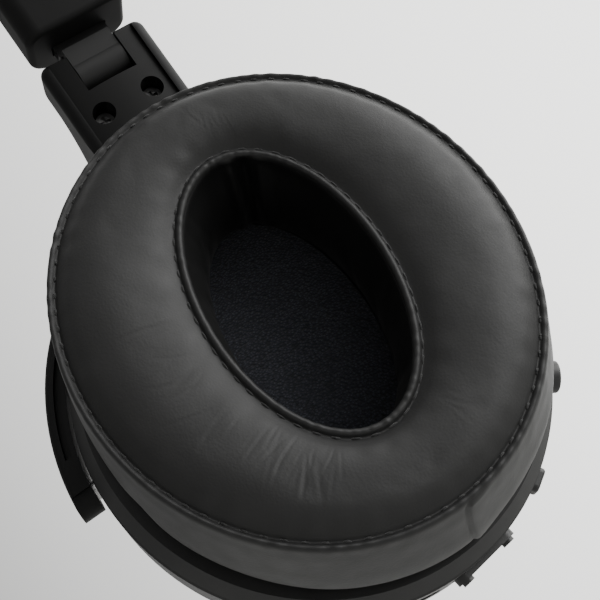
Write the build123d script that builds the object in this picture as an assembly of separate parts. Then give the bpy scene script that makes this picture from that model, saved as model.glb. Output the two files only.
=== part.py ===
from build123d import *
from math import cos, hypot, radians, sin
import os

# Over ear headphones as a head wears them, in millimetres. +X is the wearer's right, +Y the front, +Z up.
# The origin is the middle of the head: half way between the two ear cups, at the height of their pivots.
# The right side is modelled, and the left side is its mirror image, apart from the controls and the battery.
# In a cup, "depth" is the distance outward from the plane of the cushion's top seam.

# Driving dimensions of the cups
SEAM_X = 72.0            # top seam of the right cushion, so the pads stand about 140 mm apart
CUP_Y, CUP_Z = 48.3, 50.1          # half axes of the oval housing
CUP_DROP = 5.2           # the housing's middle lies this far below its pivots
PIVOT_DEPTH = 35.2
WALL = 2.2
GAP = 0.3                # free space between pieces that move past each other
SEAT = 0.1               # free space between pieces that are fixed together

# Ear cushion: its seam and its opening are ovals that are turned a little, with their tops to the rear
CUSHION_TURN = 8.0
SEAM_Y, SEAM_Z = 42.0, 47.0
CUSHION_DEPTH = 23.8
OPENING_Y, OPENING_Z = 17.3, 29.8
RING_CLEARANCE = 2.3     # radius of the clearance for a screw's head in the mounting ring

# Depths of the layers of a cup: where each begins, and where the last one ends
RING_DEPTH = 24.0
RING_TAPER = 2.2         # the ring's rim flares out by this much towards the housing
CLOTH_DEPTH = 27.6
BAFFLE_DEPTH = 28.4
FRAME_DEPTH = 30.4
RIM_END = 40.4
COVER_DEPTH = 44.0
BOARD_DEPTH = COVER_DEPTH - SEAT
CUP_DEPTH = 51.0

# Stem and fold hinge. In the stem's frame x points outward, y forward and z up the stem.
LEAN = 14.0              # the stem leans inward by this much, in degrees
FOLD_X, FOLD_Z = 87.2, 73.4        # the fold axis
STEM_Y = -1.3            # the stem stands a little behind the middle of the cup
STEM_HALF = 12.8
STEM_INNER, STEM_OUTER = -4.8, 6.2
STEM_TOP, STEM_TOP_ROUND = 4.6, 2.0
COVER_HALF = 10.2
COVER_THICK = 1.8
NOTCH_HALF = 6.0
NOTCH_BOTTOM = -5.2
KNUCKLE_HALF = 5.7
KNUCKLE_R = 4.2
KNUCKLE_TOP = 6.0
PIN_R = 1.5
PIN_CLEARANCE = 0.05
SCREW_Y, SCREW_Z = 6.0, -11.2
COUNTERBORE_R = 2.5
HEAD_X = (0.2, 1.6)       # where the stem's screw heads stand, at the bottom of their counterbores

# Slider
TONGUE_HALF, TONGUE_THICK = 6.5, 3.0
TONGUE_END = 36.5

# Headband: straight ends, two tight shoulders and a flat top arc
END_BOTTOM, END_TOP = 8.8, 20.8
STRAIGHT_TOP = 31.0
BAND_HALF = 12.0
BAND_INNER, BAND_OUTER = -9.0, 6.0
SHELL_INNER = -2.2
LINER_INNER = -3.8
SHOULDER_R = 45.0
SHOULDER_END = 65.0      # angle above level at which the shoulder meets the top arc

# Yoke
ARM_GAP = 0.8
ARM_THICK = 4.4
ARM_DEPTH = (30.4, 40.0)
ARM_END_R = 4.2
PIVOT_R = 2.0
PIVOT_SUNK = 2.2         # how far a pivot pin goes into its arm

# Controls on the rim of the right housing, by their angle below the rear, in degrees
CONTROL_DEPTH = 35.0
MODE_ANGLE, MODE_R, MODE_PROUD = -37.5, 3.4, 3.0
POWER_ANGLE, POWER_SIZE = -63.5, (5.2, 4.2)
ROCKER_ANGLE, ROCKER_LENGTH, ROCKER_WIDTH = -85.0, 15.0, 4.0
USB_ANGLE, USB_SIZE = -103.0, (9.0, 3.3)
JACK_ANGLE, JACK_R = -123.0, 1.8
ROCKER_PIN_R, ROCKER_PIN_HALF, ROCKER_PIN_Z = 0.6, 3.2, -1.1
BUTTON_PROUD = 1.6
BUTTON_DEEP = 3.4
BUTTON_LIP = 0.8

STEM = Location((FOLD_X, STEM_Y, FOLD_Z), (0, -LEAN, 0))


# ---------------------------------------------------------------- helpers
def oval(depth, half_y, half_z, turn=0.0, drop=CUP_DROP):
    """An oval face across the right cup, its normal pointing outward, and its middle a drop below the pivots."""
    plane = Plane(origin=(SEAM_X + depth, 0, -drop), x_dir=(0, 1, 0), z_dir=(1, 0, 0))
    return plane * Rot(0, 0, turn) * Ellipse(half_y, half_z)


def slab(depth, thick, half_y, half_z, turn=0.0, drop=CUP_DROP):
    return extrude(oval(depth, half_y, half_z, turn, drop), amount=thick)


def opening(depth, thick, grow=0.0):
    """The cushion's opening, or the same oval grown outward."""
    return slab(depth, thick, OPENING_Y + grow, OPENING_Z + grow, CUSHION_TURN, 0)


def stack(stations):
    """A closed body through ovals, each given by the arguments of oval."""
    return loft([oval(*station) for station in stations], ruled=True)


def disc(depth, thick, radius):
    return slab(depth, thick, radius, radius, 0, 0)


def block(x, y, z):
    """A box from three (low, high) pairs."""
    size = [high - low for low, high in (x, y, z)]
    centre = [(low + high) / 2 for low, high in (x, y, z)]
    return Pos(*centre) * Box(*size)


def rod_x(radius, x, y, z):
    return Pos((x[0] + x[1]) / 2, y, z) * Rot(0, 90, 0) * Cylinder(radius, x[1] - x[0])


def rod_y(radius, y, x=0.0, z=0.0):
    return Pos(x, (y[0] + y[1]) / 2, z) * Rot(90, 0, 0) * Cylinder(radius, y[1] - y[0])


def rim_frame(angle, depth=CONTROL_DEPTH):
    """A frame on the housing's rim: z points out of the rim, x along the cup's axis, y round the rim."""
    rear, up = cos(radians(angle)), sin(radians(angle))
    radius = 1 / hypot(rear / CUP_Y, up / CUP_Z)
    normal = (0, -rear / CUP_Y**2, up / CUP_Z**2)
    origin = (SEAM_X + depth, -radius * rear, radius * up - CUP_DROP)
    return Plane(origin=origin, x_dir=(1, 0, 0), z_dir=normal)


# ---------------------------------------------------------------- cups
def ear_cushion():
    """From the sunken foot of the top panel, over its seam and the bulging side, to the flat back."""
    stations = [(-2.4, -9.0, 0), (-1.6, -3.0, 0), (0.6, 0.0, 0), (4.0, 1.8, 0.5), (11.0, 2.7, 1.6),
                (17.0, 3.0, 2.4), (CUSHION_DEPTH, 2.0, 2.8)]
    body = [(depth, SEAM_Y + grow, SEAM_Z + grow, CUSHION_TURN, drop) for depth, grow, drop in stations]
    return stack(body) - opening(-4, CUSHION_DEPTH + 6)


def cushion_ring():
    """The flared ring that the cushion is stretched over, with a shadow groove between it and the housing."""
    edge = BAFFLE_DEPTH - 0.7
    inset = 0.3
    flare = [
        (RING_DEPTH, CUP_Y - inset - RING_TAPER, CUP_Z - inset - RING_TAPER),
        (edge, CUP_Y - inset, CUP_Z - inset),
    ]
    body = stack(flare) + slab(RING_DEPTH, BAFFLE_DEPTH - RING_DEPTH - SEAT, CUP_Y - 2.6, CUP_Z - 2.6)
    ring = body - opening(RING_DEPTH - 1, 6) - opening(CLOTH_DEPTH - SEAT, 3, 2)
    for y, z in screw_places():
        ring -= rod_x(RING_CLEARANCE, (SEAM_X + BAFFLE_DEPTH - 1.5, SEAM_X + BAFFLE_DEPTH + 1), y, z)
    return ring


def speaker_cloth():
    return opening(CLOTH_DEPTH, 0.6, 1.9)


def screw_places():
    """Where the baffle's four screws stand, on an oval 7 mm inside the rim."""
    angles = [radians(a) for a in (42, 138, 222, 318)]
    return [(cos(a) * (CUP_Y - 7), sin(a) * (CUP_Z - 7) - CUP_DROP) for a in angles]


def baffle():
    plate = slab(BAFFLE_DEPTH, FRAME_DEPTH - BAFFLE_DEPTH, CUP_Y - WALL - SEAT, CUP_Z - WALL - SEAT)
    plate -= disc(BAFFLE_DEPTH - 1, 5, 18.5)
    for y, z in screw_places():
        plate -= rod_x(1.15, (SEAM_X + BAFFLE_DEPTH - 1, SEAM_X + FRAME_DEPTH + 1), y, z)
    return plate


def baffle_screws():
    """Each head stands in the ring's underside clearance, and its shank in a post of the housing."""
    screws = []
    for y, z in screw_places():
        shank = rod_x(1.1, (SEAM_X + BAFFLE_DEPTH, SEAM_X + FRAME_DEPTH + 6), y, z)
        head = rod_x(2.0, (SEAM_X + BAFFLE_DEPTH - 1.3, SEAM_X + BAFFLE_DEPTH), y, z)
        screws.append(shank + head)
    return Compound(children=screws)


def driver_frame():
    flange = disc(FRAME_DEPTH, 1.6, 20.5)
    basket = disc(FRAME_DEPTH + 1.6, 5.0, 15.5)
    hollow = disc(FRAME_DEPTH - 1, 5.6, 13.8)
    return flange + basket - hollow


def driver_magnet():
    """A ring magnet behind the basket, with the vent through its middle."""
    return disc(FRAME_DEPTH + 6.6, 4.2, 12.0) - disc(FRAME_DEPTH + 6.0, 6, 2.5)


def driver_diaphragm():
    """A shallow dome inside a flat surround, in the hole of the baffle."""
    x = SEAM_X + FRAME_DEPTH
    dome = Pos(x + 11.0, 0, 0) * Sphere(13.0)
    inner = Pos(x + 11.0, 0, 0) * Sphere(12.6)
    cap = (dome - inner) & disc(FRAME_DEPTH - 3, 3.0, 9.0)
    return cap + (disc(FRAME_DEPTH - 0.5, 0.5, 18.0) - disc(FRAME_DEPTH - 1, 2, 6.3))


def cup_housing():
    rim = [
        (BAFFLE_DEPTH, CUP_Y - 0.8, CUP_Z - 0.8),
        (BAFFLE_DEPTH + 1.0, CUP_Y, CUP_Z),
        (RIM_END, CUP_Y, CUP_Z),
        (COVER_DEPTH - SEAT, CUP_Y - 1.6, CUP_Z - 1.6),
    ]
    body = stack(rim) - slab(BAFFLE_DEPTH - 1, COVER_DEPTH - BAFFLE_DEPTH - 1, CUP_Y - WALL, CUP_Z - WALL)
    for side in (-1, 1):
        boss = rod_y(4.6, sorted((side * (CUP_Y - 6.5), side * (CUP_Y - 1.2))), SEAM_X + PIVOT_DEPTH)
        bore = rod_y(PIVOT_R + PIN_CLEARANCE, sorted((side * (CUP_Y - 5.5), side * (CUP_Y + 3))), SEAM_X + PIVOT_DEPTH)
        body = body + boss - bore
    for y, z in screw_places():
        post = rod_x(2.6, (SEAM_X + FRAME_DEPTH, SEAM_X + COVER_DEPTH - 1), y, z)
        hole = rod_x(1.1, (SEAM_X + FRAME_DEPTH - 1, SEAM_X + FRAME_DEPTH + 6), y, z)
        body = body + post - hole
    return body


def outer_cover():
    shape = [
        (COVER_DEPTH, CUP_Y - 1.6, CUP_Z - 1.6),
        (COVER_DEPTH + 2.4, CUP_Y - 2.6, CUP_Z - 2.6),
        (COVER_DEPTH + 5.2, CUP_Y - 6.5, CUP_Z - 6.5),
        (CUP_DEPTH - 0.8, CUP_Y - 12.0, CUP_Z - 12.0),
        (CUP_DEPTH, CUP_Y - 19.0, CUP_Z - 19.0),
    ]
    hollow = [
        (COVER_DEPTH - 0.5, CUP_Y - 3.8, CUP_Z - 3.8),
        (COVER_DEPTH + 2.0, CUP_Y - 4.6, CUP_Z - 4.6),
        (COVER_DEPTH + 5.6, CUP_Y - 13.0, CUP_Z - 13.0),
    ]
    return stack(shape) - stack(hollow)


def battery():
    cell = Pos(SEAM_X + BOARD_DEPTH + 2.2, 0, 0) * Box(4.4, 32, 44)
    return fillet(cell.edges().filter_by(Axis.X), 3)


def circuit_board():
    board = slab(BOARD_DEPTH, 1.2, 34.0, 39.0)
    chips = [((-10, -12), 12, 12, 1.4), ((12, -8), 8, 6, 1.0), ((2, 14), 16, 9, 1.8), ((-14, 12), 5, 7, 1.2)]
    for (y, z), width, height, thick in chips:
        x = SEAM_X + BOARD_DEPTH + 1.2
        board += block((x, x + thick), (y - width / 2, y + width / 2), (z - height / 2, z + height / 2))
    return board


# ---------------------------------------------------------------- controls
def capsule(length, width, low, high):
    """A bar with round ends, lying along y, from low to high."""
    face = SlotOverall(length, width, rotation=90)
    return Pos(0, 0, low) * extrude(face, amount=high - low)


def button(angle, face, proud=BUTTON_PROUD):
    """A button through the rim, with a lip inside that keeps it there."""
    cap = Pos(0, 0, -BUTTON_DEEP) * extrude(face, amount=BUTTON_DEEP + proud)
    cap = fillet(cap.edges().group_by(Axis.Z)[-1], 0.6)
    lip = Pos(0, 0, -WALL - 0.95) * extrude(offset(face, BUTTON_LIP), amount=0.6)
    return rim_frame(angle).location * (cap + lip)


def mode_button():
    return button(MODE_ANGLE, Circle(MODE_R), MODE_PROUD)


def power_button():
    return button(POWER_ANGLE, RectangleRounded(POWER_SIZE[1], POWER_SIZE[0], 1.2))


def volume_rocker():
    """A rocking bar with a raised nub at each end, feet that reach its switches, and a cross pin."""
    bar = capsule(ROCKER_LENGTH, ROCKER_WIDTH, -WALL, 0.9)
    bar += rod_x(ROCKER_PIN_R, (-ROCKER_PIN_HALF, ROCKER_PIN_HALF), 0, ROCKER_PIN_Z)
    for side in (-1, 1):
        place = side * (ROCKER_LENGTH / 2 - 2.0)
        bar += Pos(0, place, 1.15) * Cylinder(1.3, 0.9)
        bar += Pos(0, place, -WALL - 0.5) * Cylinder(0.9, 1.0)
    return rim_frame(ROCKER_ANGLE).location * bar


def usb_shape(grow):
    return RectangleRounded(USB_SIZE[1] + 2 * grow, USB_SIZE[0] + 2 * grow, USB_SIZE[1] / 2 + grow - 0.05)


def usb_c_port():
    """The receptacle's shell with its tongue, flush with the rim."""
    shell = extrude(usb_shape(0.35), amount=6.5) - Pos(0, 0, 0.8) * extrude(usb_shape(0), amount=6.5)
    tongue = Pos(0, 0, 3.0) * Box(0.7, 6.6, 5.0)
    return rim_frame(USB_ANGLE).location * Pos(0, 0, -6.9) * (shell + tongue)


def aux_jack():
    """A 3.5 mm socket: a plain sleeve with a closed end, just under the rim."""
    sleeve = Pos(0, 0, -7.5) * Cylinder(3.0, 15.0) - Pos(0, 0, -6.9) * Cylinder(JACK_R, 14.0)
    return rim_frame(JACK_ANGLE).location * Pos(0, 0, -0.4) * sleeve


def control_holes():
    """What the right housing loses to its buttons and sockets."""
    deep, proud = 6.0, 4.0
    faces = [
        (MODE_ANGLE, Circle(MODE_R + GAP)),
        (POWER_ANGLE, RectangleRounded(POWER_SIZE[1] + 2 * GAP, POWER_SIZE[0] + 2 * GAP, 1.5)),
        (ROCKER_ANGLE, SlotOverall(ROCKER_LENGTH + 3 * GAP, ROCKER_WIDTH + 2 * GAP, rotation=90)),
        (USB_ANGLE, usb_shape(0.35 + SEAT)),
        (JACK_ANGLE, Circle(3.0 + SEAT)),
    ]
    tools = []
    for angle, face in faces:
        tools.append(rim_frame(angle).location * Pos(0, 0, -deep) * extrude(face, amount=deep + proud))
    reach = ROCKER_PIN_HALF + SEAT
    pin_hole = rod_x(ROCKER_PIN_R + PIN_CLEARANCE, (-reach, reach), 0, ROCKER_PIN_Z)
    return tools + [rim_frame(ROCKER_ANGLE).location * pin_hole]


# ---------------------------------------------------------------- yoke and stem
def stem_to_row(x, z):
    """A point of the stem's frame, as (depth, height) in the cup."""
    c, s = cos(radians(LEAN)), sin(radians(LEAN))
    return FOLD_X - SEAM_X + x * c - z * s, FOLD_Z + x * s + z * c


def stem_outline():
    """The stem and its root, seen from the front: inner face, top, outer face, and the sweep down to the arch."""
    inner_low = stem_to_row(STEM_INNER, -22)
    round_in = STEM_TOP_ROUND
    inner_high = stem_to_row(STEM_INNER, STEM_TOP - round_in)
    corner = stem_to_row(STEM_INNER + round_in * (1 - cos(radians(45))), STEM_TOP - round_in * (1 - sin(radians(45))))
    top_in = stem_to_row(STEM_INNER + round_in, STEM_TOP)
    top_out = stem_to_row(STEM_OUTER - 3, STEM_TOP)
    shoulder = stem_to_row(STEM_OUTER - 3 + 3 * cos(radians(45)), STEM_TOP - 3 + 3 * sin(radians(45)))
    outer_high = stem_to_row(STEM_OUTER, STEM_TOP - 3)
    outer_low = stem_to_row(STEM_OUTER, -2)
    bottom = CUP_Z - CUP_DROP - 2
    arch_top = (ARM_DEPTH[1], CUP_Z - CUP_DROP + ARM_GAP + ARM_THICK)
    arch_low = (ARM_DEPTH[1], bottom)
    down = Vector(sin(radians(LEAN)), -cos(radians(LEAN)))
    edges = [
        Line(inner_low, inner_high),
        ThreePointArc(inner_high, corner, top_in),
        Line(top_in, top_out),
        ThreePointArc(top_out, shoulder, outer_high),
        Line(outer_high, outer_low),
        Spline(outer_low, arch_top, tangents=[down, Vector(0, -1)]),
        Line(arch_top, arch_low),
        Line(arch_low, (inner_low[0], bottom)),
        Line((inner_low[0], bottom), inner_low),
    ]
    plane = Plane(origin=(SEAM_X, STEM_Y, 0), x_dir=(1, 0, 0), z_dir=(0, -1, 0))
    return plane * make_face(edges)


def stem_body():
    """The stem's solid, with its outer edges rounded from the shoulder down to the arch."""
    body = extrude(stem_outline(), amount=STEM_HALF, both=True)
    frame = Plane(STEM)

    def is_outer(edge):
        middle = frame.to_local_coords(edge.center())
        return abs(abs(middle.Y) - STEM_HALF) < 0.01 and middle.X > 2 and edge.center().Z > CUP_Z - CUP_DROP + ARM_GAP + ARM_THICK

    return fillet([e for e in body.edges() if is_outer(e)], 2.2)


def cover_region():
    """The space of the stem's inner cover, with a face that bulges a little across its width."""
    crown = 1.0
    arc = ThreePointArc((STEM_INNER + crown, -COVER_HALF), (STEM_INNER, 0), (STEM_INNER + crown, COVER_HALF))
    back = STEM_INNER + COVER_THICK + crown
    sides = Polyline((STEM_INNER + crown, COVER_HALF), (back, COVER_HALF), (back, -COVER_HALF),
                     (STEM_INNER + crown, -COVER_HALF))
    face = make_face([arc, *sides.edges()])
    return STEM * Pos(0, 0, -19) * extrude(face, amount=40)


def cover_recess():
    """What the shell loses to its cover, with the cover's own gap round it."""
    half = COVER_HALF + SEAT
    back = STEM_INNER + COVER_THICK + 1.0 + 0.02
    return STEM * block((STEM_INNER - 5, back), (-half, half), (-19 - SEAT, 21))


def notch():
    """The gap that the knuckle turns in: open at the top and on the inner side."""
    slot = block((STEM_INNER - 3, KNUCKLE_R + 0.4), (-NOTCH_HALF, NOTCH_HALF), (NOTCH_BOTTOM, 12))
    back = fillet(slot.edges().filter_by(Axis.Y).sort_by(Axis.Z)[0:2].sort_by(Axis.X)[-1], 3.0)
    return STEM * back


def screw_tool(radius, low, high):
    tools = [rod_x(radius, (low, high), side * SCREW_Y, SCREW_Z) for side in (-1, 1)]
    return [STEM * tool for tool in tools]


def cup_clearance():
    """The oval space in which the cup tilts."""
    return slab(-10, 70, CUP_Y + ARM_GAP, CUP_Z + ARM_GAP)


def cushion_clearance():
    """The wider space that the cushion's top sweeps under the stem as the cup tilts."""
    return slab(-10, 10 + ARM_DEPTH[0], SEAM_Y + 8, SEAM_Z + 6.5, 0, 0)


def arch():
    depth, thick = ARM_DEPTH[0], ARM_DEPTH[1] - ARM_DEPTH[0]
    grow = ARM_GAP + ARM_THICK
    ring = slab(depth, thick, CUP_Y + grow, CUP_Z + grow)
    ring = fillet(ring.edges(), 1.2) - cup_clearance()
    keep = block((SEAM_X, SEAM_X + 60), (-80, 80), (0, 80))
    keep += rod_y(ARM_END_R, (-80, 80), SEAM_X + PIVOT_DEPTH)
    groove = slab(depth - 1, 2.4, CUP_Y + ARM_GAP + 2.5, CUP_Z + ARM_GAP + 2.5)
    groove -= slab(depth - 2, 5, CUP_Y + ARM_GAP + 1.1, CUP_Z + ARM_GAP + 1.1)
    groove &= block((SEAM_X, SEAM_X + 60), (-80, 80), (7, 80))
    return (ring & keep) - groove


def yoke_shell():
    body = stem_body() - cup_clearance() - cushion_clearance()
    body = arch() + body
    body = body - cover_recess() - notch()
    body -= STEM * rod_y(PIN_R, (-STEM_HALF + 1.6, STEM_HALF - 1.6))
    for side in (-1, 1):
        body -= rod_y(PIVOT_R, sorted((side * (CUP_Y - 2), side * (CUP_Y + ARM_GAP + PIVOT_SUNK))), SEAM_X + PIVOT_DEPTH)
    for tool in screw_tool(COUNTERBORE_R, STEM_INNER, HEAD_X[1]) + screw_tool(1.0, STEM_INNER, 4.8):
        body -= tool
    return body


def yoke_cover():
    plate = cover_region() & (STEM * block((-20, 20), (-20, 20), (-19, STEM_TOP))) & stem_body()
    plate -= notch()
    for tool in screw_tool(COUNTERBORE_R, STEM_INNER - 2, HEAD_X[0]):
        plate -= tool
    return plate


def yoke_screws():
    screws = []
    for side in (-1, 1):
        head = rod_x(2.2, HEAD_X, side * SCREW_Y, SCREW_Z)
        head -= Pos(HEAD_X[0] + 0.3, side * SCREW_Y, SCREW_Z) * Box(1.0, 2.6, 0.7)
        head -= Pos(HEAD_X[0] + 0.3, side * SCREW_Y, SCREW_Z) * Box(1.0, 0.7, 2.6)
        screws.append(STEM * (head + rod_x(1.0, (HEAD_X[1] - 0.1, 4.8), side * SCREW_Y, SCREW_Z)))
    return Compound(children=screws)


def hinge_pin():
    return STEM * rod_y(PIN_R, (-STEM_HALF + 1.6, STEM_HALF - 1.6))


def tongue():
    """The slider's flat tongue, narrowed where it enters the knuckle."""
    wide = block((-TONGUE_THICK / 2, TONGUE_THICK / 2), (-TONGUE_HALF, TONGUE_HALF), (KNUCKLE_TOP, TONGUE_END))
    wide = fillet(wide.edges().filter_by(Axis.X), 0.5)
    foot = block((-TONGUE_THICK / 2, TONGUE_THICK / 2), (-3.6, 3.6), (2.4, KNUCKLE_TOP + 2))
    return wide + foot


def slider_arm():
    body = tongue()
    for row in range(6):
        body -= Pos(TONGUE_THICK / 2, 0, 14 + 3.2 * row) * Rot(90, 0, 0) * Cylinder(0.5, 5)
    return STEM * body


def hinge_knuckle():
    """Round at the pin, square above it, and slotted for the tongue's foot."""
    barrel = rod_y(KNUCKLE_R, (-KNUCKLE_HALF, KNUCKLE_HALF))
    head = block((-3.9, KNUCKLE_R - 0.2), (-KNUCKLE_HALF, KNUCKLE_HALF), (0, KNUCKLE_TOP))
    body = barrel + head - rod_y(PIN_R + PIN_CLEARANCE, (-20, 20)) - tongue()
    return STEM * body


def pivot_pins():
    pins = []
    for side in (-1, 1):
        pins.append(rod_y(PIVOT_R, sorted((side * (CUP_Y - 5), side * (CUP_Y + ARM_GAP + PIVOT_SUNK))), SEAM_X + PIVOT_DEPTH))
    return Compound(children=pins)


# ---------------------------------------------------------------- headband
def band_path():
    """The centre line of the headband, from the right end to the left: straight, shoulder, top, shoulder, straight."""
    c, s = cos(radians(LEAN)), sin(radians(LEAN))
    start = (FOLD_X - END_TOP * s, FOLD_Z + END_TOP * c)
    bend = (FOLD_X - STRAIGHT_TOP * s, FOLD_Z + STRAIGHT_TOP * c)
    centre = (bend[0] - SHOULDER_R * c, bend[1] - SHOULDER_R * s)

    def on_shoulder(angle):
        return centre[0] + SHOULDER_R * cos(radians(angle)), centre[1] + SHOULDER_R * sin(radians(angle))

    middle, end = on_shoulder((LEAN + SHOULDER_END) / 2), on_shoulder(SHOULDER_END)
    top_r = end[0] / cos(radians(SHOULDER_END))
    apex = (0, end[1] + top_r * (1 - sin(radians(SHOULDER_END))))

    def point(place, side):
        return Vector(side * place[0], STEM_Y, place[1])

    return Wire([
        Line(point(start, 1), point(bend, 1)),
        ThreePointArc(point(bend, 1), point(middle, 1), point(end, 1)),
        ThreePointArc(point(end, 1), point(apex, 1), point(end, -1)),
        ThreePointArc(point(end, -1), point(middle, -1), point(bend, -1)),
        Line(point(bend, -1), point(start, -1)),
    ])


def band_section(x, half, corner=0.0, corner_at=1):
    """A rectangle across the band, with its outer (1) or inner (-1) corners rounded."""
    face = Pos((x[0] + x[1]) / 2, 0) * Rectangle(x[1] - x[0], 2 * half)
    if corner:
        points = face.vertices().sort_by(Axis.X)
        face = fillet(points[2:] if corner_at > 0 else points[:2], corner)
    return face


def along_band(face):
    plane = Plane(STEM * Location((0, 0, END_TOP)))
    return sweep(plane * face, path=band_path())


def headband_shell():
    outer = band_section((SHELL_INNER, BAND_OUTER), BAND_HALF, 4.0)
    cavity = band_section((SHELL_INNER - 1, BAND_OUTER - 2), BAND_HALF - 2)
    return along_band(outer - cavity)


def headband_liner():
    return along_band(band_section((LINER_INNER, SHELL_INNER), BAND_HALF - 1))


def headband_pad():
    return along_band(band_section((BAND_INNER, LINER_INNER), BAND_HALF, 3.2, -1))


def spring_band():
    """The steel strip that clamps the cups to the head, under the shell's outer wall."""
    return along_band(band_section((BAND_OUTER - 3.2, BAND_OUTER - 2.4), 7.0))


def end_cap():
    """The end of the headband, with the slot that the slider comes out of."""
    x = (BAND_INNER + BAND_OUTER) / 2
    body = Pos(x, 0, END_BOTTOM) * extrude(RectangleRounded(BAND_OUTER - BAND_INNER, 2 * BAND_HALF, 4.0),
                                           amount=END_TOP - END_BOTTOM - SEAT)
    body = fillet(body.edges().group_by(Axis.Z)[0], 1.4)
    slot = block((-TONGUE_THICK / 2 - GAP, TONGUE_THICK / 2 + GAP), (-TONGUE_HALF - GAP, TONGUE_HALF + GAP), (0, 30))
    pocket = block((-2.1, 2.3), (-BAND_HALF + 2.2, BAND_HALF - 2.2), (END_BOTTOM + 2, 30))
    return STEM * (body - slot - pocket)


def slider_guide():
    """A sleeve inside the end of the headband that the tongue clicks along."""
    body = block((-2.0, 2.2), (-BAND_HALF + 2.3, BAND_HALF - 2.3), (END_BOTTOM + 2.1, STRAIGHT_TOP - 1))
    inner = block((-TONGUE_THICK / 2 - 0.05, TONGUE_THICK / 2 + 0.05),
                  (-TONGUE_HALF - 0.1, TONGUE_HALF + 0.1), (0, 50))
    return STEM * (body - inner)


# ---------------------------------------------------------------- writing the parts
def save(name, shape):
    solids = shape.solids()
    export_step(solids[0] if len(solids) == 1 else Compound(children=list(solids)), f"parts/{name}.step")


def save_pair(name, shape, left=None):
    save(f"{name}_right", shape)
    save(f"{name}_left", mirror(left or shape, about=Plane.YZ))


os.makedirs("parts", exist_ok=True)
PAIRS = [
    ear_cushion, cushion_ring, speaker_cloth, baffle, baffle_screws, driver_frame, driver_magnet,
    driver_diaphragm, outer_cover, yoke_shell, yoke_cover, yoke_screws, hinge_pin, slider_arm,
    hinge_knuckle, pivot_pins, end_cap, slider_guide,
]
SINGLES = [
    headband_shell, headband_liner, headband_pad, spring_band, circuit_board, mode_button, power_button,
    volume_rocker, usb_c_port, aux_jack,
]
for make in PAIRS:
    save_pair(make.__name__, make())
for make in SINGLES:
    save(make.__name__, make())
save("battery", mirror(battery(), about=Plane.YZ))

plain_housing = cup_housing()
right_housing = plain_housing
for hole in control_holes():
    right_housing -= hole
save_pair("cup_housing", right_housing, plain_housing)
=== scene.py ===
"""Over ear headphones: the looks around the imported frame. Lengths are in metres unless a name ends in _MM."""
import random
from math import cos, pi, radians, sin, sqrt

import bpy
import numpy as np
from mathutils import Matrix, Vector


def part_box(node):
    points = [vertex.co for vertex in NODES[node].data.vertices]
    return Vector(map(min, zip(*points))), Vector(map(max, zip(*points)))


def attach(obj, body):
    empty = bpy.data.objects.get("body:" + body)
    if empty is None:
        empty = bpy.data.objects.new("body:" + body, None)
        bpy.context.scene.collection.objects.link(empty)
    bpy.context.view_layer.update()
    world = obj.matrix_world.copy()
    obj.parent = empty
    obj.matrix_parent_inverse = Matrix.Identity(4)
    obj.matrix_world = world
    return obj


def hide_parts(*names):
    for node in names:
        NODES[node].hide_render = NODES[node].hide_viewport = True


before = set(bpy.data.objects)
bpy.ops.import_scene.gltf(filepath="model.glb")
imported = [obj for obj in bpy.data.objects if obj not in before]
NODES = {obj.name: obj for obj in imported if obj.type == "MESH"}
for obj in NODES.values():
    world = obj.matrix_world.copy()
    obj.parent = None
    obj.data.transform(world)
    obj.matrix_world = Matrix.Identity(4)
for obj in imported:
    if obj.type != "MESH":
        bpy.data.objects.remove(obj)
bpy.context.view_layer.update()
MM = 0.001
SIDES = {"right": 1, "left": -1}

# Cup: depth is the distance outward from the plane of the cushion's top seam
CAD_CROWN = 2.4 * MM        # the frame's cushion stands this far in front of its top seam
SEAM_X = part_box("ear_cushion_right")[0].x + CAD_CROWN
SEAM = (42.0 * MM, 47.0 * MM, radians(8.0))           # half y, half z and turn of an oval
OPENING = (17.3 * MM, 29.8 * MM, radians(8.0))
GLUED_EDGE = 1.9 * MM       # the speaker cloth's border beyond the opening
AROUND = 132                # cloth rings are split this often
AROUND_FINE, ACROSS_FINE = 5, 4
JOINT_ANGLE = radians(262)  # where the side strip's ends overlap
GATHER_ANGLE = radians(104)  # where the inner wall's strip is gathered

# Headband's centre line, as the frame has it
LEAN = radians(14.0)
FOLD = Vector((87.2 * MM, -1.3 * MM, 73.4 * MM))
END_TOP, STRAIGHT_TOP = 20.8 * MM, 31.0 * MM
SHOULDER_R, SHOULDER_END = 45.0 * MM, radians(65.0)
PAD_INNER, PAD_OUTER, PAD_HALF = -9.0 * MM, -3.8 * MM, 12.0 * MM

FLOOR_Z, FLOOR_R = -0.36, 2.9
ROOM_FROM, ROOM_LIGHT = (-0.9, 0.3), (3.6, 0.45)      # the room's light fades from rear to front
KEY_PLACE, KEY_SIZE, KEY_POWER = (-0.55, -0.85, 0.15), (0.8, 0.8), 9.0
random.seed(7)
np.random.seed(7)


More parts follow.
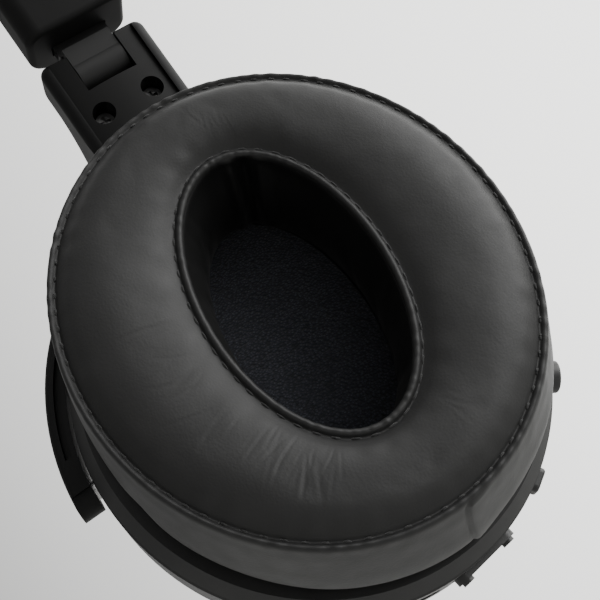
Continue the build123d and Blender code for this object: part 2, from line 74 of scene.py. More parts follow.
# ---------------------------------------------------------------- materials
class Shader:
    """A small helper that builds a Principled material out of procedural nodes."""

    def __init__(self, name, rough=0.5, metallic=0.0, specular=0.5, sheen=0.0, coat=0.0):
        self.material = bpy.data.materials.new(name)
        self.material.use_nodes = True
        self.tree = self.material.node_tree
        self.bsdf = self.tree.nodes["Principled BSDF"]
        self.bsdf.inputs["Roughness"].default_value = rough
        self.bsdf.inputs["Metallic"].default_value = metallic
        self.bsdf.inputs["Specular IOR Level"].default_value = specular
        self.bsdf.inputs["Sheen Weight"].default_value = sheen
        self.bsdf.inputs["Coat Weight"].default_value = coat
        self.coordinates = self.tree.nodes.new("ShaderNodeTexCoord").outputs["Object"]
        self.normal = None

    def node(self, kind, **values):
        made = self.tree.nodes.new(kind)
        for key, value in values.items():
            if key in made.inputs:
                made.inputs[key].default_value = value
            else:
                setattr(made, key, value)
        return made

    def link(self, source, target):
        self.tree.links.new(source, target)

    def stretched(self, scale, turn=(0, 0, 0)):
        mapping = self.node("ShaderNodeMapping")
        mapping.inputs["Scale"].default_value = scale
        mapping.inputs["Rotation"].default_value = turn
        self.link(self.coordinates, mapping.inputs["Vector"])
        return mapping.outputs["Vector"]

    def noise(self, size, detail=2.0, vector=None):
        made = self.node("ShaderNodeTexNoise", Scale=1.0 / size, Detail=detail)
        self.link(vector or self.coordinates, made.inputs["Vector"])
        return made.outputs["Fac"]

    def cells(self, size, feature="F1", vector=None):
        made = self.node("ShaderNodeTexVoronoi", Scale=1.0 / size)
        made.feature = feature
        self.link(vector or self.coordinates, made.inputs["Vector"])
        return made.outputs["Distance"]

    def ramp(self, source, stops):
        made = self.node("ShaderNodeValToRGB")
        made.color_ramp.elements[0].position = stops[0][0]
        made.color_ramp.elements[0].color = (*stops[0][1], 1)
        made.color_ramp.elements[1].position = stops[-1][0]
        made.color_ramp.elements[1].color = (*stops[-1][1], 1)
        for place, colour in stops[1:-1]:
            made.color_ramp.elements.new(place).color = (*colour, 1)
        self.link(source, made.inputs["Fac"])
        return made.outputs["Color"]

    def remap(self, source, low, high):
        made = self.node("ShaderNodeMapRange")
        made.inputs["To Min"].default_value = low
        made.inputs["To Max"].default_value = high
        self.link(source, made.inputs["Value"])
        return made.outputs["Result"]

    def colour(self, source, dark, light, low=0.35, high=0.65):
        self.link(self.ramp(source, [(low, dark), (high, light)]), self.bsdf.inputs["Base Color"])

    def roughness(self, source, low, high):
        self.link(self.remap(source, low, high), self.bsdf.inputs["Roughness"])

    def bump(self, source, depth, strength=1.0):
        made = self.node("ShaderNodeBump", Strength=strength, Distance=depth)
        self.link(source, made.inputs["Height"])
        if self.normal:
            self.link(self.normal, made.inputs["Normal"])
        self.normal = made.outputs["Normal"]
        self.link(self.normal, self.bsdf.inputs["Normal"])


def grey(value, warm=0.0):
    return (value * (1 + warm), value, value * (1 - warm))


def leather(name, dark=0.005, light=0.0075, specular=0.30):
    s = Shader(name, rough=0.50, specular=specular, sheen=0.02)
    s.bsdf.inputs["Sheen Roughness"].default_value = 0.5
    s.colour(s.noise(9 * MM, 4.0), grey(dark), grey(light, 0.01), 0.3, 0.7)
    s.roughness(s.noise(4 * MM, 5.0), 0.46, 0.60)
    s.bump(s.noise(2.2 * MM, 3.0), 0.05 * MM, 0.5)
    s.bump(s.cells(0.42 * MM, "SMOOTH_F1"), 0.035 * MM, 0.55)
    s.bump(s.noise(0.16 * MM, 2.0), 0.012 * MM, 0.5)
    return s.material


def moulded(name, dark, light, rough, grain_mm=0.22, depth_mm=0.02, specular=0.5):
    """Moulded plastic with a spark-eroded grain, and a little handling shine."""
    s = Shader(name, rough=rough, specular=specular)
    s.colour(s.noise(14 * MM, 3.0), grey(dark), grey(light), 0.3, 0.7)
    s.roughness(s.noise(6 * MM, 4.0), rough - 0.06, rough + 0.07)
    s.bump(s.noise(grain_mm * MM, 3.0), depth_mm * MM, 0.6)
    s.bump(s.noise(3 * MM, 2.0), 0.02 * MM, 0.3)
    return s.material


def knit(name):
    """A fine dark knit: rows of loops with painted highlights on their tops and painted shade between them, and
    some loose fibre.
    """
    s = Shader(name, rough=0.92, specular=0.25, sheen=0.25)
    s.bsdf.inputs["Sheen Roughness"].default_value = 0.6
    loops = s.cells(0.62 * MM, "F1", s.stretched((1, 1.0, 1.35), (radians(24), 0, 0)))
    tops = s.remap(loops, 1.0, 0.0)
    fibre = s.noise(0.2 * MM, 4.0)
    painted_loop_light_and_fibre = s.node("ShaderNodeMath")
    painted_loop_light_and_fibre.operation = "MULTIPLY"
    s.link(tops, painted_loop_light_and_fibre.inputs[0])
    s.link(fibre, painted_loop_light_and_fibre.inputs[1])
    # Colour runs from dark gaps to lighter loop tops: painted shade between the loops and painted highlight on
    # them, with the fibre's random tone.
    shade_to_highlight_blues = [(0.12, (0.0020, 0.0024, 0.0045)), (0.32, (0.008, 0.0095, 0.016)), (0.52, (0.035, 0.039, 0.055))]
    s.link(s.ramp(painted_loop_light_and_fibre.outputs[0], shade_to_highlight_blues), s.bsdf.inputs["Base Color"])
    s.bump(tops, 0.28 * MM, 0.9)
    s.bump(fibre, 0.1 * MM, 0.6)
    return s.material


def metal(name, value, rough, tint=0.0):
    s = Shader(name, rough=rough, metallic=1.0)
    s.colour(s.noise(2 * MM, 3.0), grey(value * 0.85, tint), grey(value, tint), 0.3, 0.7)
    s.roughness(s.noise(0.8 * MM, 4.0), rough - 0.06, rough + 0.08)
    s.bump(s.noise(0.12 * MM, 2.0, s.stretched((1, 6, 1))), 0.006 * MM, 0.5)
    return s.material


def coloured(name, dark, light, rough, size_mm, specular=0.5):
    s = Shader(name, rough=rough, specular=specular)
    s.colour(s.noise(size_mm * MM, 3.0), dark, light)
    s.roughness(s.noise(size_mm * MM, 2.0), rough - 0.05, rough + 0.05)
    s.bump(s.noise(0.3 * MM, 2.0), 0.01 * MM, 0.5)
    return s.material


def thread(name):
    s = Shader(name, rough=0.7, specular=0.3, sheen=0.2)
    s.colour(s.noise(0.8 * MM, 2.0), grey(0.006), grey(0.014))
    s.bump(s.noise(0.12 * MM, 2.0, s.stretched((1, 5, 5))), 0.05 * MM, 0.8)
    return s.material


def board_material():
    s = Shader("circuit_board_mask", rough=0.35)
    traces = s.cells(2.4 * MM, "DISTANCE_TO_EDGE")
    greens = [(0.03, (0.02, 0.10, 0.05)), (0.06, (0.008, 0.045, 0.022))]
    s.link(s.ramp(traces, greens), s.bsdf.inputs["Base Color"])
    s.bump(traces, 0.02 * MM, 0.4)
    return s.material


def floor_material():
    s = Shader("pale_floor", rough=0.6, specular=0.2)
    s.colour(s.noise(0.3, 3.0), (0.55, 0.55, 0.54), (0.60, 0.60, 0.59), 0.3, 0.7)
    s.bump(s.noise(2 * MM, 2.0), 0.02 * MM, 0.2)
    return s.material


MATERIALS = {
    "leather": leather("protein_leather"),
    # A darker, less reflective copy of the cushion leather for the inner wall: painted shade and less
    # reflection inside the opening.
    "shaded_inner_leather": leather("inner_wall_leather_painted_shade", 0.0016, 0.0026, 0.14),
    "band_leather": leather("band_leather", 0.006, 0.010),
    "housing": moulded("housing_plastic", 0.004, 0.006, 0.42, specular=0.25),
    "soft": moulded("soft_touch_plastic", 0.003, 0.0045, 0.60, 0.3, 0.014, 0.12),
    "stem": moulded("stem_plastic", 0.003, 0.0045, 0.50, 0.2, 0.016, 0.13),
    "slider": moulded("slider_plastic", 0.004, 0.006, 0.32, 0.3, 0.006, 0.35),
    "knuckle": moulded("knuckle_plastic", 0.006, 0.009, 0.50, 0.25, 0.02, 0.25),
    "button": moulded("button_plastic", 0.010, 0.013, 0.42, 0.2, 0.012, 0.4),
    "knit": knit("speaker_knit"),
    "steel": metal("plain_steel", 0.55, 0.34),
    "screw": metal("blackened_steel", 0.16, 0.36),
    "port": metal("port_nickel", 0.30, 0.32, 0.02),
    "thread": thread("black_thread"),
    "film": coloured("driver_film", (0.25, 0.22, 0.12), (0.34, 0.31, 0.2), 0.25, 4),
    "board": board_material(),
    "battery": coloured("battery_pouch", (0.16, 0.17, 0.19), (0.24, 0.25, 0.27), 0.3, 8),
    "floor": floor_material(),
}
NODE_MATERIALS = {
    "cushion_ring": "housing", "speaker_cloth": "knit", "baffle": "housing", "baffle_screws": "steel",
    "driver_frame": "housing", "driver_magnet": "steel", "driver_diaphragm": "film",
    "cup_housing": "housing",
    "outer_cover": "soft", "yoke_shell": "stem", "yoke_cover": "stem", "yoke_screws": "screw",
    "hinge_pin": "steel", "slider_arm": "slider", "hinge_knuckle": "knuckle", "pivot_pins": "steel",
    "end_cap": "soft", "slider_guide": "housing", "ear_cushion": "leather", "headband_shell": "soft",
    "headband_liner": "housing", "headband_pad": "band_leather", "spring_band": "steel",
    "circuit_board": "board",
    "battery": "battery", "mode_button": "button", "power_button": "button", "volume_rocker": "button",
    "usb_c_port": "port", "aux_jack": "port",
}


def dress_frame():
    """Gives every CAD node its material, in place of the plain one it came with."""
    for name, node in NODES.items():
        plain = name.removesuffix("_right").removesuffix("_left")
        node.data.materials.clear()
        node.data.materials.append(MATERIALS[NODE_MATERIALS[plain]])


# ---------------------------------------------------------------- mesh helpers
def make_object(name, points, faces, material, body):
    mesh = bpy.data.meshes.new(name)
    mesh.from_pydata([tuple(p) for p in points], [], faces)
    mesh.update()
    piece = bpy.data.objects.new(name, mesh)
    bpy.context.scene.collection.objects.link(piece)
    mesh.polygons.foreach_set("use_smooth", [True] * len(mesh.polygons))
    mesh.materials.append(MATERIALS[material])
    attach(piece, body)
    return piece


def grid_faces(rows, columns, wrap_rows=True, flip=False):
    """Quads of a grid that closes on itself round the columns, and round the rows if wrap_rows."""
    faces = []
    for i in range(rows if wrap_rows else rows - 1):
        for j in range(columns):
            a, b = i * columns + j, i * columns + (j + 1) % columns
            c, d = (i + 1) % rows * columns + (j + 1) % columns, (i + 1) % rows * columns + j
            faces.append((a, d, c, b) if flip else (a, b, c, d))
    return faces


def spline_weights(fraction):
    """The uniform cubic B-spline's four weights."""
    f = fraction
    return (1 - f) ** 3 / 6, (3 * f**3 - 6 * f**2 + 4) / 6, (-3 * f**3 + 3 * f**2 + 3 * f + 1) / 6, f**3 / 6


def refine(grid, factor, axis, closed=True):
    """Subdivides a grid of points smoothly along one axis."""
    count = grid.shape[axis]
    if not closed:
        first, last = np.take(grid, [0], axis), np.take(grid, [count - 1], axis)
        second, before = np.take(grid, [1], axis), np.take(grid, [count - 2], axis)
        grid = np.concatenate([2 * first - second, grid, 2 * last - before], axis)
    steps = []
    for k in range(factor):
        weights = spline_weights(k / factor)
        total = 0
        for offset, weight in zip((-1, 0, 1, 2), weights):
            total = total + weight * np.roll(grid, -offset, axis)
        steps.append(total)
    fine = np.stack(steps, axis + 1)
    shape = list(grid.shape)
    shape[axis] *= factor
    fine = fine.reshape(shape)
    if closed:
        return fine
    return np.take(fine, range(factor, factor * count + 1 - (factor - 1)), axis)


def grid_normals(grid, wrap_rows=True):
    """Unit normals of a grid of points that closes round its columns."""
    along = np.roll(grid, -1, 1) - np.roll(grid, 1, 1)
    across = np.roll(grid, -1, 0) - np.roll(grid, 1, 0)
    if not wrap_rows:
        across[0], across[-1] = grid[1] - grid[0], grid[-1] - grid[-2]
    normal = np.cross(along, across)
    return normal / np.maximum(np.linalg.norm(normal, axis=2, keepdims=True), 1e-12)


def waves(values, periods, seed):
    """Smooth seeded noise of one variable that repeats after 2 pi, between about -1 and 1."""
    rng = np.random.RandomState(seed)
    total = np.zeros_like(values)
    for period in periods:
        total = total + rng.uniform(0.5, 1.0) * np.sin(period * values + rng.uniform(0, 2 * pi))
    return total / sqrt(len(periods))


def bell(values, centre, width):
    return np.exp(-((values - centre) / width) ** 2)


# ---------------------------------------------------------------- ear cushions
def oval_yz(oval, angles, grow=0.0):
    """Points of an oval across the cup, grown outward by a length, as y and z."""
    half_y, half_z, turn = oval
    y, z = (half_y + grow) * np.cos(angles), (half_z + grow) * np.sin(angles)
    return y * cos(turn) - z * sin(turn), y * sin(turn) + z * cos(turn)


# Rows of the cushion's cross-section, from the foot of the inner wall over the top and down the outside.
# Each is (kind, place, depth in mm, held). Kind "in" grows the opening by place mm, and "out" the seam.
# "top" is a part of the way from the lip to the seam. A held row doesn't move in the cloth simulation.
PANEL_ROWS = 16
CROWN_MM = 2.7
FOOT_MM = 23.7              # the depth of the cushion's flat back
FOOT_ROWS = [
    ("in", 1.8, FOOT_MM, 1), ("in", 0.2, 23.1, 1), ("in", -1.6, 21.9, 1), ("in", -2.5, 20.0, 0),
    ("in", -2.9, 17.4, 0), ("in", -2.9, 14.7, 0), ("in", -2.4, 12.0, 0), ("in", -1.7, 9.4, 0),
    ("in", -1.0, 7.0, 0), ("in", -0.4, 4.8, 0), ("in", -0.1, 3.2, 1), ("in", -0.5, 2.2, 1),
    ("in", -0.5, 1.3, 1), ("in", 0.1, 0.7, 1), ("in", 0.8, 0.9, 1), ("in", 1.15, 1.5, 1), ("in", 1.5, 1.6, 1),
]
SIDE_ROWS = [
    ("out", -1.5, 0.5, 1), ("out", -0.8, 1.0, 1), ("out", -0.4, 1.5, 1), ("out", 0.0, 1.0, 1),
    ("out", 0.6, 0.7, 1), ("out", 1.1, 1.2, 1), ("out", 1.3, 2.2, 1), ("out", 1.5, 3.4, 1),
    ("out", 1.8, 5.4, 0), ("out", 2.2, 8.0, 0), ("out", 2.7, 10.8, 0), ("out", 3.3, 13.6, 0),
    ("out", 3.6, 16.2, 0), ("out", 3.7, 18.6, 0), ("out", 3.4, 20.6, 0), ("out", 2.7, 22.0, 1),
    ("out", 2.2, 22.8, 1), ("out", 2.4, 23.3, 1), ("out", 2.0, FOOT_MM, 1),
]
BASE_ROWS = [("top", place, FOOT_MM, 1) for place in (0.9, 0.65, 0.4, 0.15)]
WALL_SLANT = 0.13           # the inner wall runs down by this much for its depth
# How far the side leans down and rearward, at each depth
SIDE_SHIFT_MM = ((0.6, 4.0, 11.0, 17.0, 23.8), (0.0, 0.3, 0.9, 1.5, 1.7))


def panel_rows():
    rows = []
    for i in range(1, PANEL_ROWS):
        part = i / PANEL_ROWS
        crown = (4 * part * (1 - part)) ** 0.56
        rows.append(("top", part, 1.5 * (1 - part) + 0.5 * part - CROWN_MM * crown, 0))
    return rows


SECTION = FOOT_ROWS + panel_rows() + SIDE_ROWS + BASE_ROWS
LIP_ROW = 13
STITCH_ROW = 15.4
STITCH_PITCH = 3.3 * MM
WELT_ROW = len(FOOT_ROWS) + PANEL_ROWS - 1 + 4
GROOVE_ROW = WELT_ROW - 2
FOOT_ROW = len(FOOT_ROWS) + PANEL_ROWS - 1 + len(SIDE_ROWS)


def section_ring(row, angles):
    kind, place, depth, _ = row
    slant = -WALL_SLANT * max(depth - 2.0, 0.0) * MM
    shift = -float(np.interp(depth, *SIDE_SHIFT_MM)) * MM
    if kind == "in":
        y, z = oval_yz(OPENING, angles, place * MM)
        z = z + slant
    elif kind == "out":
        y, z = oval_yz(SEAM, angles, place * MM)
        y, z = y + shift, z + shift
    else:
        (y_in, z_in), (y_out, z_out) = oval_yz(OPENING, angles, 1.9 * MM), oval_yz(SEAM, angles, -2.0 * MM)
        y = y_in * (1 - place) + (y_out + shift) * place
        z = (z_in + slant) * (1 - place) + (z_out + shift) * place
    return np.stack([np.full_like(angles, SEAM_X + depth * MM), y, z], axis=1)


def coarse_cushion():
    angles = np.arange(AROUND) * 2 * pi / AROUND
    return np.stack([section_ring(row, angles) for row in SECTION])


def inflate(grid, held, pressure, growth, most, frames=20):
    """Blows a closed grid up as cloth, with its held rows pinned, and caps how far a point may move."""
    rows, columns = grid.shape[:2]
    mesh = bpy.data.meshes.new("cloth_trial")
    points = grid.reshape(-1, 3)
    mesh.from_pydata([tuple(p) for p in points], [], grid_faces(rows, columns))
    trial = bpy.data.objects.new("cloth_trial", mesh)
    bpy.context.scene.collection.objects.link(trial)
    pins = trial.vertex_groups.new(name="held")
    for i, is_held in enumerate(held):
        if is_held:
            pins.add(list(range(i * columns, (i + 1) * columns)), 1.0, "REPLACE")
    cloth = trial.modifiers.new("cloth", "CLOTH")
    values = cloth.settings
    values.quality = 6
    values.mass = 0.2
    values.tension_stiffness = values.compression_stiffness = 12
    values.shear_stiffness = 6
    values.bending_stiffness = 0.3
    values.use_pressure = True
    values.uniform_pressure_force = pressure
    values.shrink_min = -growth
    values.vertex_group_mass = "held"
    values.effector_weights.gravity = 0
    cloth.collision_settings.use_collision = False
    cloth.point_cache.frame_start, cloth.point_cache.frame_end = 1, frames
    scene = bpy.context.scene
    for number in range(1, frames + 1):
        scene.frame_set(number)
    evaluated = trial.evaluated_get(bpy.context.evaluated_depsgraph_get())
    moved = np.array([v.co for v in evaluated.data.vertices])
    scene.frame_set(1)
    bpy.data.objects.remove(trial)
    bpy.data.meshes.remove(mesh)
    step = moved - points
    length = np.linalg.norm(step, axis=1, keepdims=True)
    step *= np.minimum(1.0, most / np.maximum(length, 1e-9))
    return (points + step).reshape(grid.shape)


def row_places(count):
    """The row number of every refined row, as a column."""
    return (np.arange(count * ACROSS_FINE) / ACROSS_FINE)[:, None]


def creases(angle, row):
    """Fine creases that run out from the opening's stitching across the top panel, as a height."""
    rng = np.random.RandomState(11)
    first, last = len(FOOT_ROWS), len(FOOT_ROWS) + PANEL_ROWS
    part = (row - first) / (last - first)
    height = np.zeros(np.broadcast(angle, row).shape)
    groups = [(325, 13, 22, 1.1), (303, 8, 8, 0.9), (350, 9, 8, 0.7), (250, 12, 4, 0.3), (95, 5, 8, 0.4)]
    for centre, spread, count, weight in groups:
        for _ in range(count):
            at = radians(centre + rng.normal(0, spread))
            start, length = rng.uniform(-0.02, 0.30), rng.uniform(0.2, 0.55)
            slope, bend = rng.normal(0, 0.10), rng.normal(0, 0.12)
            width, depth = rng.uniform(0.005, 0.010), rng.uniform(0.03, 0.085) * weight
            along = (part - start) / length
            envelope = np.clip(4 * along * (1 - along), 0, 1)
            line = at + slope * (part - start) + bend * (part - start) ** 2
            away = (angle - line + pi) % (2 * pi) - pi
            height -= depth * MM * envelope * bell(away, 0, width)
            height += 0.5 * depth * MM * envelope * bell(away, 1.9 * width, 1.4 * width)
    return height


def cushion_relief(angle, row):
    """Puckers at the seams, gathers beside them and creases in the panel, as a height along the normal."""
    flat = np.zeros(np.broadcast(angle, row).shape)
    pucker = waves(angle + flat, [61, 74, 89, 97, 113], 3)
    slow = waves(angle + flat, [5, 9, 13, 17], 5)
    height = 0.15 * MM * pucker * bell(row, WELT_ROW, 1.3) * (0.7 + 0.3 * slow)
    gather = waves(angle + flat, [31, 38, 47, 57], 9)
    height += 0.07 * MM * gather * (bell(row, GROOVE_ROW - 2.6, 1.6) + bell(row, WELT_ROW + 3.4, 1.6))
    middle = len(FOOT_ROWS) + PANEL_ROWS * 0.5
    height += 0.22 * MM * waves(angle + flat, [3, 5, 7, 11], 21) * bell(row, middle, 4.5)
    height += 0.20 * MM * waves(angle + flat, [4, 7, 10], 27) * bell(row, WELT_ROW + 8.0, 3.5)
    lip = waves(angle + flat, [42, 55, 63, 81], 15)
    height += 0.06 * MM * lip * bell(row, LIP_ROW, 1.8)
    height += 0.05 * MM * waves(angle + flat, [19, 26, 33], 17) * bell(row, len(FOOT_ROWS) + 1.5, 1.8)
    return height + creases(angle, row)


def inner_gather(angle, row):
    """The deep fold where the inner wall's strip is joined, at the top of the opening."""
    away = (angle - GATHER_ANGLE + pi) % (2 * pi) - pi
    wall = np.clip((LIP_ROW - 1.0 - row) / 3, 0, 1) * np.clip((row - 0.5) / 4, 0, 1)
    fold = -1.5 * bell(away, 0.0, 0.08) + 1.2 * bell(away, -0.17, 0.08) + 0.8 * bell(away, 0.16, 0.08)
    return fold * MM * wall


def strip_joint(angle, row):
    """The side strip's ends overlap at the lower rear, under the welt."""
    at = JOINT_ANGLE + 0.010 * (row - WELT_ROW) - 0.0011 * (row - WELT_ROW) ** 2
    away = (angle - at + pi) % (2 * pi) - pi
    wall = np.clip((row - WELT_ROW - 0.8) / 1.2, 0, 1) * np.clip((FOOT_ROW - row) / 3, 0, 1)
    step = 0.5 / (1 + np.exp(np.clip(away / 0.0035, -60, 60))) * bell(away, 0, 0.09)
    return (step - 0.35 * bell(away, 0.006, 0.006)) * MM * wall


def finished_cushion(coarse):
    """The fine right cushion: points, with the relief of its seams and creases."""
    fine = refine(refine(coarse, ACROSS_FINE, 0), AROUND_FINE, 1)
    angle = (np.arange(fine.shape[1]) * 2 * pi / fine.shape[1])[None, :]
    row = row_places(len(SECTION))
    height = cushion_relief(angle, row) + inner_gather(angle, row) + strip_joint(angle, row)
    return fine + height[:, :, None] * grid_normals(fine)


def mirrored(points, side):
    return points * np.array([SIDES[side], 1, 1])


def cushion_pieces():
    """Both cushions' covers, with their stitches, from one right cushion that is blown up as cloth."""
    coarse = coarse_cushion()
    held = [row[3] for row in SECTION]
    coarse = inflate(coarse, held, pressure=4.0, growth=0.004, most=1.4 * MM)
    fine = finished_cushion(coarse)
    rows, columns = fine.shape[:2]
    for side, body in (("right", "cup_right"), ("left", "cup_left")):
        points = mirrored(fine.reshape(-1, 3), side)
        faces = grid_faces(rows, columns, flip=side == "right")
        cover = make_object(f"ear_cushion_cover_{side}", points, faces, "leather", body)
        # The inner wall's rows take the darker copy of the leather: painted shade inside the opening.
        cover.data.materials.append(MATERIALS["shaded_inner_leather"])
        inner = (LIP_ROW - 2) * ACROSS_FINE * columns
        slots = [1 if k < inner else 0 for k in range(rows * columns)]
        cover.data.polygons.foreach_set("material_index", slots)
        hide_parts(f"ear_cushion_{side}")
        seam, opening = f"cushion_seam_stitches_{side}", f"opening_stitches_{side}"
        stitches(seam, fine, GROOVE_ROW + 0.35, 1.5 * MM, 0.22 * MM, side, body)
        stitches(opening, fine, STITCH_ROW, 2.0 * MM, 0.2 * MM, side, body)


def stitches(name, fine, row, length, radius, side, body):
    """Short sunken thread segments along one row of the cushion."""
    ring = fine[round(row * ACROSS_FINE)]
    normals = grid_normals(fine)[round(row * ACROSS_FINE)]
    steps = np.linalg.norm(np.roll(ring, -1, 0) - ring, axis=1)
    total = np.concatenate([[0], np.cumsum(steps)])
    closed, closed_normals = np.vstack([ring, ring[:1]]), np.vstack([normals, normals[:1]])
    count = round(total[-1] / STITCH_PITCH)
    rng = np.random.RandomState(len(name))
    points, faces = [], []
    for k in range(count):
        middle = (k + 0.5) * total[-1] / count + rng.normal(0, 0.08 * MM)
        places = np.clip(middle + length * np.linspace(-0.5, 0.5, 7), 0, total[-1])
        line = np.stack([np.interp(places, total, closed[:, i]) for i in range(3)], 1)
        out = np.stack([np.interp(places, total, closed_normals[:, i]) for i in range(3)], 1)
        lift = np.sin(np.linspace(0, pi, 7))[:, None]
        add_tube(points, faces, mirrored(line + out * (lift * 0.9 - 0.55) * radius * 1.6, side), radius, 6)
    return make_object(name, points, faces, "thread", body)


def add_tube(points, faces, line, radius, around):
    """A closed round tube along a short line of points."""
    base = len(points)
    line = [Vector(p) for p in line]
    for i, place in enumerate(line):
        ahead = (line[min(i + 1, len(line) - 1)] - line[max(i - 1, 0)]).normalized()
        side = ahead.orthogonal().normalized()
        other = ahead.cross(side)
        share = 0.45 if i in (0, len(line) - 1) else 1.0
        for j in range(around):
            turn = 2 * pi * j / around
            points.append(place + (side * cos(turn) + other * sin(turn)) * radius * share)
    for i in range(len(line) - 1):
        for j in range(around):
            a, b = base + i * around + j, base + i * around + (j + 1) % around
            faces.append((a, b, b + around, a + around))
    faces.append(tuple(base + j for j in reversed(range(around))))
    faces.append(tuple(base + (len(line) - 1) * around + j for j in range(around)))


def cloth_pieces():
    """The speaker cloth: an oval sheet with a soft sag, whose edge is glued under the cushion's foot."""
    rings, columns = 24, 96
    half_y, half_z = OPENING[0] + GLUED_EDGE, OPENING[1] + GLUED_EDGE
    turn = OPENING[2]
    for side, body in (("right", "cup_right"), ("left", "cup_left")):
        points, faces = [], []
        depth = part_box("speaker_cloth_right")[0].x + 0.1 * MM
        for i in range(rings + 1):
            share = i / rings
            angles = np.arange(columns) * 2 * pi / columns
            y, z = oval_yz((half_y * share, half_z * share, turn), angles)
            sag = 0.9 * MM * (1 - share**2) + 0.05 * MM * waves(angles, [3, 5, 8], 31) * sin(pi * share)
            ring = np.stack([depth - sag * 0.4 + 0 * y, y, z], 1)
            points.extend(mirrored(ring if i else ring[:1], side))
        for j in range(columns):
            faces.append((0, 1 + j, 1 + (j + 1) % columns))
        for i in range(rings - 1):
            for j in range(columns):
                a, b = 1 + i * columns + j, 1 + i * columns + (j + 1) % columns
                faces.append((a, a + columns, b + columns, b))
        if side == "right":
            faces = [face[::-1] for face in faces]
        cloth = make_object(f"speaker_knit_{side}", points, faces, "knit", body)
        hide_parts(f"speaker_cloth_{side}")


# ---------------------------------------------------------------- headband pad
def band_line():
    """Points and outward directions along the headband's centre line, from the right end to the left."""
    up = Vector((-sin(LEAN), 0, cos(LEAN)))
    out = Vector((cos(LEAN), 0, sin(LEAN)))
    start, bend = FOLD + up * END_TOP, FOLD + up * STRAIGHT_TOP
    centre = bend - out * SHOULDER_R
    shoulder_end = centre + Vector((cos(SHOULDER_END), 0, sin(SHOULDER_END))) * SHOULDER_R
    top_r = shoulder_end.x / cos(SHOULDER_END)
    top_centre = Vector((0, FOLD.y, shoulder_end.z - top_r * sin(SHOULDER_END)))
    half = [(start.lerp(bend, k / 3), out) for k in range(3)]
    for k in range(14):
        angle = LEAN + (SHOULDER_END - LEAN) * k / 14
        direction = Vector((cos(angle), 0, sin(angle)))
        half.append((centre + direction * SHOULDER_R, direction))
    for k in range(19):
        angle = SHOULDER_END + (pi / 2 - SHOULDER_END) * k / 19
        direction = Vector((cos(angle), 0, sin(angle)))
        half.append((top_centre + direction * top_r, direction))
    top = (top_centre + Vector((0, 0, top_r)), Vector((0, 0, 1)))
    flip = [(Vector((-p.x, p.y, p.z)), Vector((-d.x, 0, d.z))) for p, d in reversed(half)]
    return half + [top] + flip


def pad_loop(share):
    """One cross-section of the pad, as (inward place, y): a crowned face between two sewn edges."""
    end = min(1.0, min(share, 1 - share) / 0.035)
    thick = (PAD_OUTER - PAD_INNER) * (0.55 + 0.45 * sqrt(end))
    flat = PAD_OUTER
    half = PAD_HALF - 0.5 * MM
    edge = half - 1.5 * MM
    loop = [(flat, y) for y in (-edge, -half * 0.5, 0, half * 0.5, edge)]
    for k in range(13):
        angle = pi / 2 - pi * k / 12
        y = half * np.sign(sin(angle)) * abs(sin(angle)) ** 0.55
        x = flat - thick * (0.25 + 0.75 * abs(cos(angle)) ** 0.8)
        loop.append((x, y))
    return loop


def headband_pad_piece():
    line = band_line()
    grid = []
    for i, (place, out) in enumerate(line):
        grid.append([place + out * x + Vector((0, y, 0)) for x, y in pad_loop(i / (len(line) - 1))])
    coarse = np.array([[tuple(p) for p in ring] for ring in grid])
    fine = refine(refine(coarse, 6, 0, closed=False), 4, 1)
    rows, columns = fine.shape[:2]
    along = np.linspace(0, 2 * pi, rows)[:, None]
    around = (np.arange(columns) / 4)[None, :]
    crown = bell(around, 11, 3.2)
    seams = bell(around, 6, 1.6) + bell(around, 16, 1.6)
    flat = 0 * around
    height = 0.10 * MM * waves(along + flat, [61, 83, 97], 41) * seams
    height = height + 0.16 * MM * waves(along + flat, [9, 14, 23], 43) * crown
    fine = fine + height[:, :, None] * grid_normals(fine, wrap_rows=False)
    faces = grid_faces(rows, columns, wrap_rows=False)
    faces.append(tuple(range(columns)))
    faces.append(tuple((rows - 1) * columns + j for j in reversed(range(columns))))
    points = fine.reshape(-1, 3)
    pad = make_object("headband_pad_cover", points, faces, "band_leather", "headband")
    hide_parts("headband_pad")


# ---------------------------------------------------------------- stage, light and camera
def floor():
    """A wide pale disc under the headphones."""
    columns, rings = 96, 12
    turns = [2 * pi * j / columns for j in range(columns)]
    points, faces = [(0, 0, FLOOR_Z)], [(0, 1 + j, 1 + (j + 1) % columns) for j in range(columns)]
    for i in range(rings):
        radius = FLOOR_R * (i + 1) / rings
        points += [(radius * cos(turn), radius * sin(turn), FLOOR_Z) for turn in turns]
    for i in range(rings - 1):
        for j in range(columns):
            a, b = 1 + i * columns + j, 1 + i * columns + (j + 1) % columns
            faces.append((a, a + columns, b + columns, b))
    mesh = bpy.data.meshes.new("floor")
    mesh.from_pydata(points, [], faces)
    ground = bpy.data.objects.new("floor", mesh)
    bpy.context.scene.collection.objects.link(ground)
    mesh.materials.append(MATERIALS["floor"])


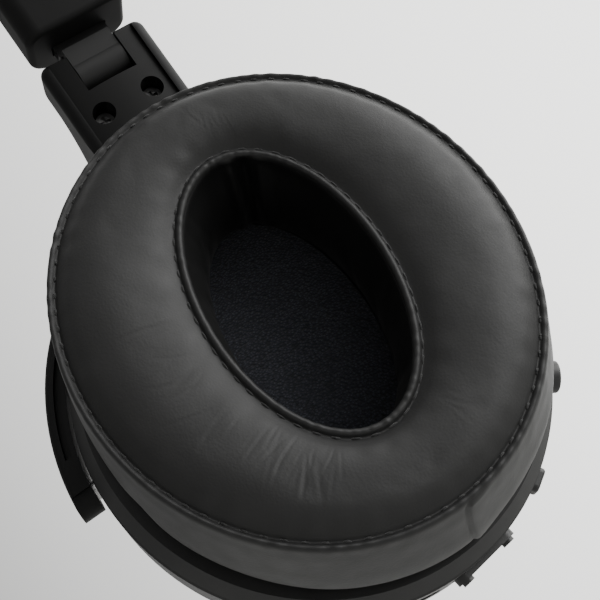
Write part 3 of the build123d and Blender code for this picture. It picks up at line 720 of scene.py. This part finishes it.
def softbox(name, place, target, size, power):
    data = bpy.data.lights.new(name, "AREA")
    data.shape = "RECTANGLE"
    data.size, data.size_y = size
    data.energy = power
    lamp = bpy.data.objects.new(name, data)
    bpy.context.scene.collection.objects.link(lamp)
    lamp.location = place
    lamp.rotation_euler = (Vector(target) - Vector(place)).to_track_quat("-Z", "Y").to_euler()


def studio():
    """A pale room, brighter at the rear of the headphones than at the front, and one soft key light."""
    world = bpy.data.worlds.new("pale_studio")
    world.use_nodes = True
    tree = world.node_tree
    background = tree.nodes["Background"]
    background.inputs["Color"].default_value = (1.0, 1.0, 0.985, 1)
    direction = tree.nodes.new("ShaderNodeTexCoord").outputs["Generated"]
    split = tree.nodes.new("ShaderNodeSeparateXYZ")
    fade = tree.nodes.new("ShaderNodeMapRange")
    fade.inputs["From Min"].default_value, fade.inputs["From Max"].default_value = ROOM_FROM
    fade.inputs["To Min"].default_value, fade.inputs["To Max"].default_value = ROOM_LIGHT
    tree.links.new(direction, split.inputs["Vector"])
    tree.links.new(split.outputs["Y"], fade.inputs["Value"])
    tree.links.new(fade.outputs["Result"], background.inputs["Strength"])
    bpy.context.scene.world = world
    softbox("key_rear", KEY_PLACE, (SEAM_X, 0, 0), KEY_SIZE, KEY_POWER)


def camera():
    """Looks at the right cushion from beside the left cup, a little from below and in front."""
    target = Vector((SEAM_X, 1.7 * MM, -3.9 * MM))
    place = Vector((-69.2 * MM, 43.4 * MM, -58.3 * MM))
    back = (place - target).normalized()
    right = Vector((-0.0074, -0.8022, -0.597))
    right = (right - back * right.dot(back)).normalized()
    up = back.cross(right)
    data = bpy.data.cameras.new("view")
    data.lens, data.sensor_width = 54.0, 36.0
    data.clip_start = 0.005
    eye = bpy.data.objects.new("view", data)
    bpy.context.scene.collection.objects.link(eye)
    eye.matrix_world = Matrix.Translation(place) @ Matrix((right, up, back)).transposed().to_4x4()
    bpy.context.scene.camera = eye


dress_frame()
cushion_pieces()
cloth_pieces()
headband_pad_piece()
floor()
studio()
camera()
